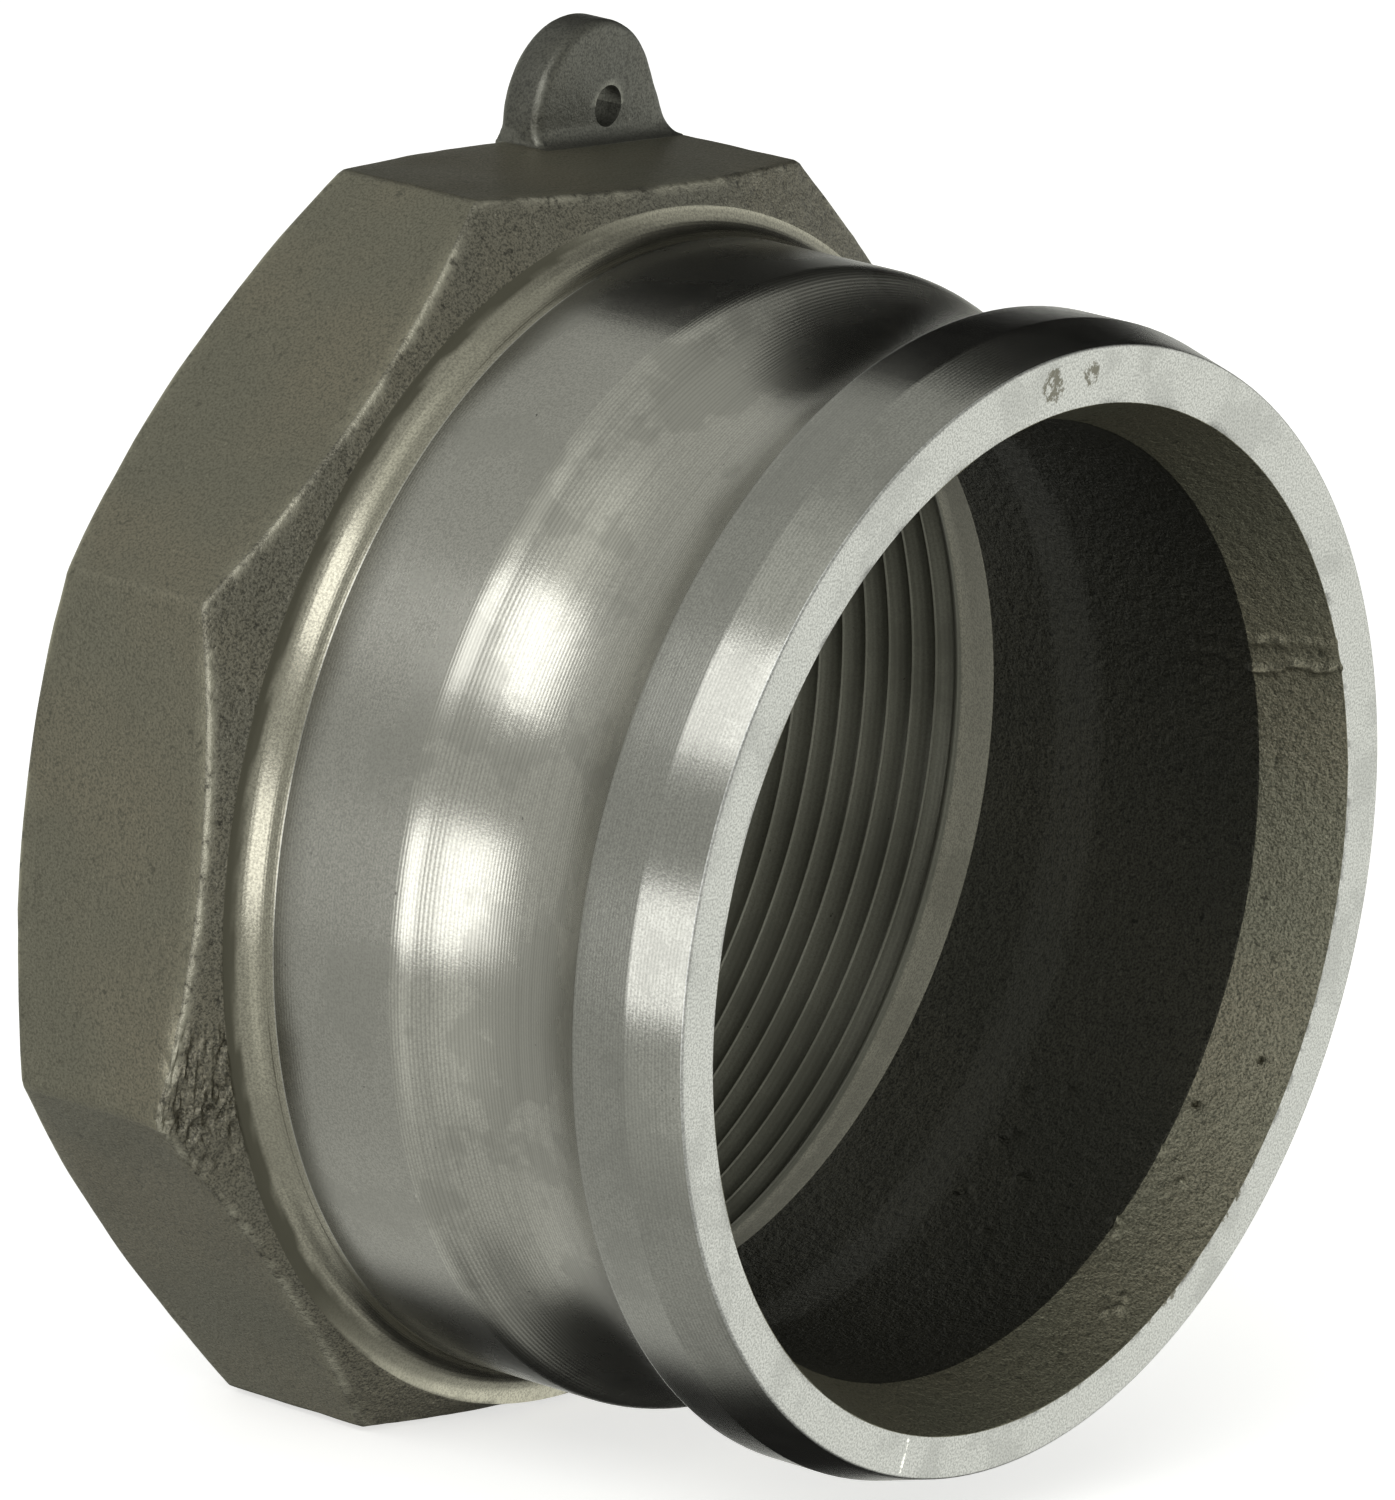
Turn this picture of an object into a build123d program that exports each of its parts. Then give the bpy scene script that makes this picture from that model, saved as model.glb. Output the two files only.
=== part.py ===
from build123d import *
import math
import os

# Male cam-groove adapter with a female pipe thread, one iron casting. Millimetres.
# The bore axis is Y. The cam end's flat sealing face is at y = 0 and looks towards -Y,
# the threaded end looks towards +Y, and +Z is up, through the flat that carries the lug.

# ---- cam spigot, machined, concentric with the Y axis ----
FACE_EDGE_RADIUS = 58.1
TIP_RADIUS = 59.75
LEAD_IN_LENGTH = 6.0
TIP_LAND_END = 12.4
GROOVE_RADIUS = 15.5
GROOVE_REAR = 34.2
CREST_RADIUS = 3.6
LAND_RADIUS = 59.5
LAND_END = 51.3
COVE_RADIUS = 3.8
COVE_EDGE_RADIUS = 62.0
EDGE_BREAK = 0.4

# ---- octagonal collar, as cast ----
COLLAR_SIDES = 8
COLLAR_FLATS = 128.0
COLLAR_FRONT = 56.2
COLLAR_BACK = 79.9
CHAMFER_ANGLE = 29.0
BODY_LENGTH = 81.0
CAST_SHIFT_X = -0.2
CAST_SHIFT_Z = -0.7

# ---- how far overlapping solids and cutters run past each other, and what counts as one place ----
OVERLAP = 2.0
CUTTER_RUN = 1.0
SAME_PLACE = 0.01

# ---- flow bore, as cast, cored a little off the machined axis ----
MOUTH_RADIUS = 52.9
THROAT_RADIUS = 49.5
THROAT_START = 9.0
THROAT_END = 29.3
CHAMBER_RADIUS = 51.0
CHAMBER_START = 36.0

# ---- pipe thread, machined: 4 in, 8 threads per inch, 60 degree form, cut parallel ----
THREAD_PITCH = 25.4 / 8
THREAD_CREST_RADIUS = 53.35
THREAD_DEPTH = 2.35
THREAD_CREST_FLAT = 0.35
THREAD_FLANK_ANGLE = 30.0
THREAD_LEAD_START = 45.1
THREAD_START = 50.8
THREAD_OVERCUT = 0.4
THREAD_OVERCUT_SPREAD = 0.04
MOUTH_CHAMFER_RADIUS = 57.4

# ---- lug for a cap chain, on the top flat ----
LUG_FRONT = 75.6
LUG_THICKNESS = 5.0
LUG_ARC_X = 13.1
LUG_ARC_Z = 66.9
LUG_ARC_RADIUS = 9.8
LUG_SLOPE = 31.0
LUG_FOOT_Z = 60.0
LUG_EDGE = 1.0
LUG_HOLE_X = 14.9
LUG_HOLE_Z = 67.6
LUG_HOLE_RADIUS = 2.2


def turned(outline):
    """Revolve an outline of (radius, y) edges, drawn in the XY plane, about the Y axis."""
    return revolve(make_face(outline), axis=Axis.Y)


def spigot():
    """The machined cam end: lead-in taper, tip land, cam groove, plain land, and rear cove."""
    half_groove = (GROOVE_REAR - TIP_LAND_END) / 2
    groove_middle = TIP_LAND_END + half_groove
    rim = (TIP_RADIUS + LAND_RADIUS) / 2
    floor = rim - GROOVE_RADIUS + math.sqrt(GROOVE_RADIUS**2 - half_groove**2)
    tip_top = (TIP_RADIUS, TIP_LAND_END - EDGE_BREAK)
    tip_back = (TIP_RADIUS - EDGE_BREAK, TIP_LAND_END)
    groove_end = (LAND_RADIUS, GROOVE_REAR)
    cove_start = (LAND_RADIUS, LAND_END)
    cove_turn = math.acos(1 - (COVE_EDGE_RADIUS - LAND_RADIUS) / COVE_RADIUS)
    cove_middle = cove_point(cove_turn / 2)
    cove_end = cove_point(cove_turn)
    back = COLLAR_FRONT + OVERLAP
    outline = [
        Line((0, 0), (FACE_EDGE_RADIUS, 0)),
        Line((FACE_EDGE_RADIUS, 0), (TIP_RADIUS, LEAD_IN_LENGTH)),
        Line((TIP_RADIUS, LEAD_IN_LENGTH), tip_top),
        Line(tip_top, tip_back),
        ThreePointArc(tip_back, (floor, groove_middle), groove_end),
        Line(groove_end, cove_start),
        ThreePointArc(cove_start, cove_middle, cove_end),
        Line(cove_end, (COVE_EDGE_RADIUS, back)),
        Line((COVE_EDGE_RADIUS, back), (0, back)),
        Line((0, back), (0, 0)),
    ]
    section = make_face(outline)
    crest = section.vertices().sort_by_distance((*groove_end, 0))[0]
    return revolve(fillet(crest, CREST_RADIUS), axis=Axis.Y)


def cove_point(turn):
    """A point of the cove where its surface has turned by an angle from the land."""
    return (
        LAND_RADIUS + COVE_RADIUS * (1 - math.cos(turn)),
        LAND_END + COVE_RADIUS * math.sin(turn),
    )


def collar():
    """The octagon, cut at both ends by a shallow cone, as the corners of a nut are."""
    slope = math.tan(math.radians(CHAMFER_ANGLE))
    half_flats = COLLAR_FLATS / 2
    corner = half_flats / math.cos(math.pi / COLLAR_SIDES)
    inner = LAND_RADIUS - OVERLAP
    prism = extrude(
        Plane.XZ * RegularPolygon(corner, COLLAR_SIDES, rotation=180 / COLLAR_SIDES),
        -BODY_LENGTH,
    )
    outside = corner + OVERLAP
    cones = [
        (0, COLLAR_FRONT - (half_flats - inner) * slope),
        (inner, COLLAR_FRONT - (half_flats - inner) * slope),
        (outside, COLLAR_FRONT + (outside - half_flats) * slope),
        (outside, COLLAR_BACK - (outside - half_flats) * slope),
        (half_flats - (BODY_LENGTH - COLLAR_BACK) / slope, BODY_LENGTH),
        (0, BODY_LENGTH),
    ]
    envelope = turned(Polyline(*cones, close=True).edges())
    return prism & envelope


def lug():
    """The chain lug: a plate across the top flat, upright on one side, sloped on the other."""
    turn = math.radians(LUG_SLOPE)
    left = LUG_ARC_X - LUG_ARC_RADIUS
    top = (LUG_ARC_X, LUG_ARC_Z + LUG_ARC_RADIUS)
    tangent = (
        LUG_ARC_X + LUG_ARC_RADIUS * math.cos(turn),
        LUG_ARC_Z + LUG_ARC_RADIUS * math.sin(turn),
    )
    foot = (tangent[0] + (tangent[1] - LUG_FOOT_Z) * math.tan(turn), LUG_FOOT_Z)
    outline = [
        Line((left, LUG_FOOT_Z), (left, LUG_ARC_Z)),
        ThreePointArc((left, LUG_ARC_Z), top, tangent),
        Line(tangent, foot),
        Line(foot, (left, LUG_FOOT_Z)),
    ]
    plate = extrude(Plane.XZ.offset(-LUG_FRONT) * make_face(outline), -LUG_THICKNESS)
    rims = plate.edges().filter_by(
        lambda edge: edge.center().Z > LUG_FOOT_Z + OVERLAP / 2
        and (abs(edge.center().Y - LUG_FRONT) < SAME_PLACE
             or abs(edge.center().Y - LUG_FRONT - LUG_THICKNESS) < SAME_PLACE)
    )
    return fillet(rims, LUG_EDGE)


def flow_bore():
    """The cored passage: it narrows under the cam groove and opens again under the collar."""
    mouth_slope = (MOUTH_RADIUS - THROAT_RADIUS) / THROAT_START
    core = [
        (0, -CUTTER_RUN),
        (MOUTH_RADIUS + mouth_slope * CUTTER_RUN, -CUTTER_RUN),
        (THROAT_RADIUS, THROAT_START),
        (THROAT_RADIUS, THROAT_END),
        (CHAMBER_RADIUS, CHAMBER_START),
        (CHAMBER_RADIUS, THREAD_LEAD_START + OVERLAP),
        (0, THREAD_LEAD_START + OVERLAP),
    ]
    cored = turned(Polyline(*core, close=True).edges())
    lead_slope = (THREAD_START - THREAD_LEAD_START) / (THREAD_CREST_RADIUS - CHAMBER_RADIUS)
    lead_inner = CHAMBER_RADIUS - OVERLAP / 2
    machined = [
        (0, THREAD_LEAD_START - lead_slope * OVERLAP / 2),
        (lead_inner, THREAD_LEAD_START - lead_slope * OVERLAP / 2),
        (THREAD_CREST_RADIUS, THREAD_START),
        (THREAD_CREST_RADIUS, BODY_LENGTH + CUTTER_RUN),
        (0, BODY_LENGTH + CUTTER_RUN),
    ]
    bored = turned(Polyline(*machined, close=True).edges())
    return [Pos(CAST_SHIFT_X, 0, CAST_SHIFT_Z) * cored, bored]


def mouth_chamfer():
    """The countersink that starts the thread at the back face."""
    depth = MOUTH_CHAMFER_RADIUS - THREAD_CREST_RADIUS
    ring = [
        (0, BODY_LENGTH - depth),
        (THREAD_CREST_RADIUS, BODY_LENGTH - depth),
        (MOUTH_CHAMFER_RADIUS + CUTTER_RUN, BODY_LENGTH + CUTTER_RUN),
        (0, BODY_LENGTH + CUTTER_RUN),
    ]
    return turned(Polyline(*ring, close=True).edges())


def thread_groove():
    """One helical V groove from the thread's inner end to past the mouth."""
    height = BODY_LENGTH + THREAD_PITCH - THREAD_START
    flank = math.tan(math.radians(THREAD_FLANK_ANGLE))
    mouth_half = (THREAD_PITCH - THREAD_CREST_FLAT) / 2
    root_half = mouth_half - THREAD_DEPTH * flank
    lip_half = mouth_half + THREAD_OVERCUT_SPREAD
    path = Helix(THREAD_PITCH, height, THREAD_CREST_RADIUS)
    section = Plane.XZ * make_face(
        Polyline(
            (THREAD_CREST_RADIUS - THREAD_OVERCUT, -lip_half),
            (THREAD_CREST_RADIUS, -mouth_half),
            (THREAD_CREST_RADIUS + THREAD_DEPTH, -root_half),
            (THREAD_CREST_RADIUS + THREAD_DEPTH, root_half),
            (THREAD_CREST_RADIUS, mouth_half),
            (THREAD_CREST_RADIUS - THREAD_OVERCUT, lip_half),
            close=True,
        ).edges()
    )
    groove = sweep(section, path=path, is_frenet=True)
    return Pos(0, THREAD_START + THREAD_PITCH / 2, 0) * Rot(-90, 0, 0) * groove


def adapter_body():
    """The whole casting after machining."""
    solid = spigot() + collar() + lug()
    for cut in flow_bore():
        solid -= cut
    solid -= mouth_chamfer()
    drill = Cylinder(LUG_HOLE_RADIUS, LUG_THICKNESS + 2 * OVERLAP, rotation=(90, 0, 0))
    solid -= Pos(LUG_HOLE_X, LUG_FRONT + LUG_THICKNESS / 2, LUG_HOLE_Z) * drill
    solid -= thread_groove()
    return solid


os.makedirs("parts", exist_ok=True)
export_step(adapter_body(), "parts/adapter_body.step")
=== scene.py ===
import math

import bmesh
import bpy
import numpy as np
from mathutils import Matrix, Vector, noise


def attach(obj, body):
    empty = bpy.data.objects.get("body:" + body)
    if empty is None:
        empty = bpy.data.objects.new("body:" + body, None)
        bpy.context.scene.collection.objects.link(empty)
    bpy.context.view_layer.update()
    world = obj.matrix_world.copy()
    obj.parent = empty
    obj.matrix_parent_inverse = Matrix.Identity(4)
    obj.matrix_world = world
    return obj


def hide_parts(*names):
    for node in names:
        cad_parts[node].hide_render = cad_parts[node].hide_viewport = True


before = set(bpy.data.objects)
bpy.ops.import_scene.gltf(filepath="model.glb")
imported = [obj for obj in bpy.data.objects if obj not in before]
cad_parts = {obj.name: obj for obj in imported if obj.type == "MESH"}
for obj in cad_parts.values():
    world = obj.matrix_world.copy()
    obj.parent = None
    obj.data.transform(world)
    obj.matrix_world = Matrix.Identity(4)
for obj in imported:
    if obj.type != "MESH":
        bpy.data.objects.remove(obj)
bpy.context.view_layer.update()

# The frame is in metres. The casting is drawn in millimetres and scaled by MM.
# Y is the bore axis, the cam end's sealing face is at y = 0, and +Z is up through the lug.
MM = 0.001

# Points closer than this, in metres, are one point.
CASTING_WELD = 2e-6
LUG_WELD = 1e-6

# ---- columns of points round the axis, in degrees, and points in the bends between runs ----
COLUMN_STEP = 2.0
CORNER_COLUMNS = (-0.9, -0.6, -0.3, 0.3, 0.6, 0.9)
BEND_POINTS = 5
WIDE_BEND = 1
WIDE_BEND_POINTS = 9

# ---- machined spigot, about the Y axis; its cove reaches COVE_DROP further out at the bottom ----
MOUTH_RADIUS = 52.9
FACE_EDGE_RADIUS = 58.1
TIP_RADIUS = 59.75
LEAD_IN_LENGTH = 6.0
TIP_LAND_END = 12.4
GROOVE_RADIUS = 15.5
GROOVE_REAR = 34.2
GROOVE_STEPS = 30
CREST_STEPS = 3
CREST_BEND = 1.5
LAND_RADIUS = 59.5
LAND_END = 51.3
COVE_RADIUS = 3.8
COVE_EDGE = 62.0
COVE_DROP = 1.95
COVE_STEPS = 13

# ---- a fine tool line round the land: distances before the cove, and its depth ----
TOOL_LINE_START = 1.0
TOOL_LINE_FLOOR = (0.93, 0.87)
TOOL_LINE_END = 0.8
TOOL_LINE_DEPTH = 0.03

# ---- octagonal collar, as cast; the cored passage is a little off the machined axis ----
CAST_SHIFT = (-0.2, -0.7)
HALF_FLATS = 64.0
COLLAR_FRONT = 56.2
COLLAR_BACK = 79.9
CHAMFER_SLOPE = math.tan(math.radians(29.0))
CORNER_ROUND = 1.1
BODY_LENGTH = 81.0

# ---- cored passage and pipe thread ----
THROAT_RADIUS = 49.5
THROAT_START = 9.0
THROAT_END = 29.3
CHAMBER_RADIUS = 51.0
CHAMBER_START = 36.0
MOUTH_START = 0.1
LEAD_CONE_RADIUS = 51.0
LEAD_CONE_START = 45.1
LEAD_CONE_SLOPE = 0.412
THREAD_PITCH = 25.4 / 8
THREAD_START = 50.2
THREAD_CREST_AT = 56.82
THREAD_CREST_FLAT = 0.3
THREAD_DEPTH = 2.25
THREAD_FLANK = math.tan(math.radians(30.0))
THREAD_CREST_BLEND = 0.2
THREAD_ROOT_BLEND = 0.15
THREAD_ROOT_RUN = 0.08
THREAD_STOP = 0.01
THREAD_TAPER = 1 / 32
THREAD_MID_RADIUS = 53.35
THREAD_MID = 63.0
MOUTH_CHAMFER_RADIUS = 57.4

# ---- the drilled lug; its arc and its hole are x, z and radius, its foot lies under the flat ----
LUG_MIDDLE = 78.1
LUG_HALF_THICKNESS = 2.5
LUG_ARC = (13.1, 66.9, 9.8)
LUG_SLOPE = math.radians(31.0)
LUG_EDGE = 1.0
LUG_ROOT = 2.0
LUG_SIDE_ROOT = 0.4
LUG_FOOT = (-2.5, -1.7)
LUG_HOLE = (14.9, 67.6, 2.2)
LUG_HOLE_SEGMENTS = 40
LUG_ROOT_STEPS = 9
LUG_ROOT_FIRST = 0.12
LUG_TOP_STEPS = 26
LUG_TOP_GAP = 0.15
LUG_COLUMNS = 31

# ---- cast skin: depth by zone, size of the swells and of the ripple on them ----
SKIN_DEPTH = {"cast": 0.10, "chamfer": 0.12, "core": 0.08, "mouth": 0.08}
LUG_SKIN_DEPTH = 0.10
SWELL_SIZE = 9.0
RIPPLE_SIZE = 1.8
RIPPLE_SHARE = 0.35

# ---- wrinkled patch on the chamfer: middle and reach in degrees, reach in y, fold size and height ----
WRINKLE_MIDDLE = -158.0
WRINKLE_REACH = 9.0
WRINKLE_BACK = 4.5
WRINKLE_FOLDS = (1.5, 1.5, 3.6)
WRINKLE_RISE = 0.32
WRINKLE_DEPTH = 1.1

# ---- the core's seam: angle and height of its two lines, where it lies, how it wanders and fades ----
SEAM_LINES = ((22.4, 0.60), (25.8, 0.42))
SEAM_FROM = 15
SEAM_TO = 32
SEAM_END = 28
SEAM_WIDTH = 0.45
SEAM_DRIFT = 0.9
SEAM_DRIFT_LENGTH = 2.2
SEAM_BREAK_LENGTH = 0.9
SEAM_STRONG_TO = 9.5
SEAM_WEAK = 0.35
SEAM_FADE = 7

# ---- rubbed edges: width of the bright lines and of the band that can carry them ----
WEAR_WIDTH = 0.4
WEAR_BAND = 1.5
CORNER_WEAR_SHARE = 2.0
LUG_RIM_WEAR = 0.7
LUG_LIP_WEAR_WIDTH = 0.35

# ---- painted shade on the outer part of the cove, on the side in view, which is also made less metallic and rougher: inner radius, edge, and angles where it starts and stops ----
COVE_SHADE_RADIUS = 60.75
COVE_SHADE_EDGE = 0.3
COVE_SHADE_RAGGED = 0.35
COVE_SHADE_PATCH = 2.5
COVE_SHADE_START = 92
COVE_SHADE_START_FADE = 16
COVE_SHADE_STOP = 252
COVE_SHADE_STOP_FADE = 24

# ---- turned surfaces: spacing of the turning lines, and their tone as a share of the metal's ----
LINE_PITCH = 0.35
LINE_SHADE = 0.35

# ---- display colour of the painted shade on the cove ----
COVE_SHADE_COLOUR = (92, 90, 78)

# ---- edges sharper than this are shaded as edges ----
SHARP_ANGLE = math.radians(50)

# ---- camera: angles in degrees, distance and target in metres ----
CAMERA_SENSOR = 36
CAMERA_LENS = 295.64
CAMERA_AZIMUTH = -53.332
CAMERA_ELEVATION = 12.583
CAMERA_ROLL = 5.676
CAMERA_DISTANCE = 1.25952
CAMERA_TARGET = (0.00191, 0.04625, 0.00686)

# ---- floor, in metres ----
FLOOR_HALF_SIZE = 6.0
FLOOR_GAP = 0.0005
FLOOR_GREY = 0.86
FLOOR_ROUGH = 0.9
FLOOR_GLOW = 0.62

# ---- two wide soft windows: name, elevation in degrees and height in metres ----
WINDOWS = (("upper_window", 38, 0.60), ("lower_window", -8, 0.62))
WINDOW_AZIMUTH = -80
WINDOW_DISTANCE = 1.5
WINDOW_WIDTH = 1.5
WINDOW_POWER = 6.4
WINDOW_TARGET = (0, 0.04, 0)

# ---- surroundings: azimuth, elevation, inner and outer half-angle in degrees, share of the grey ----
STUDIO_GREY = (0.602, 0.608, 0.570, 1)
SURROUNDINGS = [
    (114, 34, 24, 30, 0.05),
    (123, 28, 15, 23, 0.15),
    (112, -52, 22, 33, 0.03),
    (56, -8, 16, 31, 2.2),
    (129, -17, 8, 18, 2.1),
    (-80, 62, 6, 24, 1.7),
    (-85, -36, 6, 20, 1.5),
    (176, -52, 6, 22, 1.15),
    (0, -89, 5, 18, 0.5),
    (58, 50, 8, 20, 0.45),
    (-5, -13, 8, 22, 1.5),
]

# ---- the casting's surfaces; each has its own material ----
ZONES = [
    "face", "tip", "groove", "land", "shoulder", "chamfer", "cast", "thread", "lead", "core", "mouth",
]

# ---- where small marks need a finer mesh: zone, angles round the axis, from and to y, cuts ----
FINE_FIELDS = [
    ("chamfer", 0, 360, 0, 90, 1),
    ("chamfer", 190, 214, 0, 90, 2),
    ("mouth", 275, 360, 0, 9, 3),
    ("mouth", 0, 40, 0, 9, 3),
    ("core", 285, 340, 9, 30, 3),
    ("core", 14, 30, 9, 28, 3),
    ("face", 252, 258, -1, 1, 3),
]

# ---- lumps in the mouth and throat: angle round the axis, y, radius and height (below 0 a pit) ----
LUMPS = [
    (-48.8, 22.1, 0.85, 0.88),
    (-52.5, 27.6, 0.75, -0.99),
    (-44.5, 27.0, 0.60, 0.77),
    (-43.2, 26.0, 0.50, 0.66),
    (-57.5, 21.6, 0.60, 0.66),
    (-35.8, 22.3, 0.60, 0.66),
    (-37.2, 26.8, 0.55, -0.77),
    (-50.5, 8.8, 0.80, 0.88),
    (-51.8, 8.2, 0.60, 0.77),
    (-60.8, 2.9, 0.75, 0.88),
    (-62.3, 3.8, 0.60, 0.66),
    (-59.2, 3.4, 0.50, 0.66),
    (-42.5, 5.5, 0.55, 0.66),
    (-25.5, 3.4, 0.50, -0.99),
    (-33.0, 7.6, 0.45, -0.99),
    (-39.5, 8.8, 0.55, 0.66),
]


# ---------------------------------------------------------------- casting

def column_angles():
    """Angles round the axis, from +X towards +Z, with extra columns at the octagon's corners."""
    plain = np.arange(0, 360, COLUMN_STEP)
    corners = np.arange(22.5, 360, 45)
    near = np.concatenate([corners + step for step in CORNER_COLUMNS])
    angles = np.unique(np.round(np.concatenate([plain, near]), 4))
    return np.radians(np.append(angles, 360.0))


THETA = column_angles()


def shifted_circle(radius):
    """Distance from the Y axis, at each column, to a circle about the cast axis."""
    along = CAST_SHIFT[0] * np.cos(THETA) + CAST_SHIFT[1] * np.sin(THETA)
    across = CAST_SHIFT[0] * np.sin(THETA) - CAST_SHIFT[1] * np.cos(THETA)
    return along + np.sqrt(radius**2 - across**2)


def off_flat(angle):
    """The angle from the middle of the octagon's nearest flat."""
    return (angle + math.pi / 8) % (math.pi / 4) - math.pi / 8


def octagon():
    """Distance from the Y axis, at each column, to the octagon with its corners rounded."""
    from_flat = off_flat(THETA)
    flat = HALF_FLATS / np.cos(from_flat)
    centre = (HALF_FLATS - CORNER_ROUND) / math.cos(math.pi / 8)
    from_corner = math.pi / 8 - np.abs(from_flat)
    inside = np.maximum(CORNER_ROUND**2 - (centre * np.sin(from_corner)) ** 2, 0)
    arc = centre * np.cos(from_corner) + np.sqrt(inside)
    tangent = math.atan((HALF_FLATS - CORNER_ROUND) * math.tan(math.pi / 8) / HALF_FLATS)
    return np.where(np.abs(from_flat) > tangent, arc, flat)


class Outline:
    """The casting's section at every column, as knots with rounded bends between straight runs."""

    def __init__(self):
        self.knots = []

    def to(self, radius, y, zone, bend=0.0, steps=1):
        """Run to (radius, y) in a number of steps; the run's faces belong to zone."""
        point = np.stack([radius + 0 * THETA, y + 0 * THETA], 1)
        self.knots.append((point, zone, bend, steps))

    def rows(self):
        """All rows of points, with the zone of the faces that run to each."""
        rows = []
        zones = []
        last = None
        for i, (point, zone, bend, steps) in enumerate(self.knots):
            before = self.knots[i - 1][0]
            after = self.knots[(i + 1) % len(self.knots)][0]
            turn = round_corner(before, point, after, bend) if bend else [point]
            start = turn[0]
            if last is not None:
                for step in range(1, steps):
                    rows.append(last + (start - last) * step / steps)
                    zones.append(zone)
            for row in turn:
                rows.append(row)
                zones.append(zone)
            last = turn[-1]
        return rows, zones


def unit(v):
    """Rows of v brought to unit length."""
    return v / np.maximum(np.linalg.norm(v, axis=1, keepdims=True), 1e-9)


def round_corner(before, point, after, bend):
    """Points of the circular arc that leaves both runs at a distance of bend from their corner."""
    behind = unit(before - point)
    ahead = unit(after - point)
    weight = np.sqrt((1 - np.sum(ahead * behind, 1, keepdims=True)) / 2)
    start = point + behind * bend
    end = point + ahead * bend
    count = BEND_POINTS if bend < WIDE_BEND else WIDE_BEND_POINTS
    arc = []
    for t in np.linspace(0, 1, count):
        share = (1 - t) ** 2, 2 * t * (1 - t) * weight, t**2
        arc.append((share[0] * start + share[1] * point + share[2] * end) / sum(share))
    return arc


def groove_points():
    """Points of the cam groove's single arc, from the tip to where the rear crest is rounded off."""
    half = (GROOVE_REAR - TIP_LAND_END) / 2
    middle = TIP_LAND_END + half
    rim = (TIP_RADIUS + LAND_RADIUS) / 2
    centre = rim + math.sqrt(GROOVE_RADIUS**2 - half**2)
    reach = math.asin(half / GROOVE_RADIUS)
    for i in range(1, GROOVE_STEPS - CREST_STEPS + 1):
        turn = reach * (2 * i / GROOVE_STEPS - 1)
        yield centre - GROOVE_RADIUS * math.cos(turn), middle + GROOVE_RADIUS * math.sin(turn)


def cove_points():
    """Points of the turned cove, from the land to its ragged edge in the cast chamfer."""
    edge = COVE_EDGE + COVE_DROP * np.maximum(-np.sin(THETA), 0) ** 3
    for turn in np.linspace(0, math.pi / 2, COVE_STEPS):
        reach = LAND_RADIUS + COVE_RADIUS * (1 - math.cos(turn))
        depth = LAND_END + COVE_RADIUS * math.sin(turn)
        yield np.minimum(reach, edge), np.where(reach < edge, depth, cove_depth(edge))
    yield edge, cove_depth(edge)


def cove_depth(radius):
    """The cove's y at a radius: its arc, and flat past the arc's end."""
    across = np.clip(1 - (radius - LAND_RADIUS) / COVE_RADIUS, 0, 1)
    return LAND_END + COVE_RADIUS * np.sqrt(1 - across**2)


def outside():
    """From the mouth's inner edge, over the spigot and the collar, to the back face."""
    line = Outline()
    octagonal = octagon()
    front_edge = COLLAR_FRONT + (octagonal - HALF_FLATS) * CHAMFER_SLOPE
    back_edge = COLLAR_BACK - (octagonal - HALF_FLATS) * CHAMFER_SLOPE
    back_rim = HALF_FLATS - (BODY_LENGTH - COLLAR_BACK) / CHAMFER_SLOPE
    line.to(shifted_circle(MOUTH_RADIUS), 0, "mouth", bend=0.12)
    line.to(FACE_EDGE_RADIUS, 0, "face", bend=0.22, steps=5)
    line.to(TIP_RADIUS, LEAD_IN_LENGTH, "tip", bend=0.15, steps=5)
    line.to(TIP_RADIUS, TIP_LAND_END, "tip", bend=0.35, steps=5)
    for radius, y in groove_points():
        line.to(radius, y, "groove")
    line.to(LAND_RADIUS, GROOVE_REAR, "groove", bend=CREST_BEND)
    line.to(LAND_RADIUS, LAND_END - TOOL_LINE_START, "land", steps=4)
    for before_cove in TOOL_LINE_FLOOR:
        line.to(LAND_RADIUS - TOOL_LINE_DEPTH, LAND_END - before_cove, "land")
    line.to(LAND_RADIUS, LAND_END - TOOL_LINE_END, "land")
    for radius, y in cove_points():
        line.to(radius, y, "shoulder")
    line.to(octagonal, front_edge, "chamfer", bend=0.45, steps=7)
    line.to(octagonal, back_edge, "cast", bend=0.55, steps=12)
    line.to(back_rim, BODY_LENGTH, "cast", bend=0.3, steps=6)
    line.to(MOUTH_CHAMFER_RADIUS, BODY_LENGTH, "face", bend=0.15, steps=4)
    return line.rows()


def thread_rows():
    """Rows that follow the right-hand helix, from the back face in to the thread's start."""
    half_flat = THREAD_CREST_FLAT / 2
    root = half_flat + THREAD_DEPTH * THREAD_FLANK
    root_end = min(root + THREAD_ROOT_RUN, THREAD_PITCH / 2)
    side = [0.0, half_flat, half_flat + THREAD_CREST_BLEND, root - THREAD_ROOT_BLEND, root_end]
    places = side + [THREAD_PITCH - s for s in reversed(side[1:-1])]
    first = math.floor((THREAD_START - THREAD_CREST_AT) / THREAD_PITCH) - 1
    last = math.ceil((BODY_LENGTH - THREAD_CREST_AT) / THREAD_PITCH) + 2
    crest = THREAD_CREST_AT - THREAD_PITCH * THETA / (2 * math.pi)
    end = BODY_LENGTH - THREAD_STOP
    rows = []
    for turn in range(last, first - 1, -1):
        for place in reversed(places):
            y = np.clip(crest + turn * THREAD_PITCH + place, THREAD_START, end)
            rows.append(np.stack([thread_radius(y, crest), y], 1))
    return rows, ["thread"] * len(rows)


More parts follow.
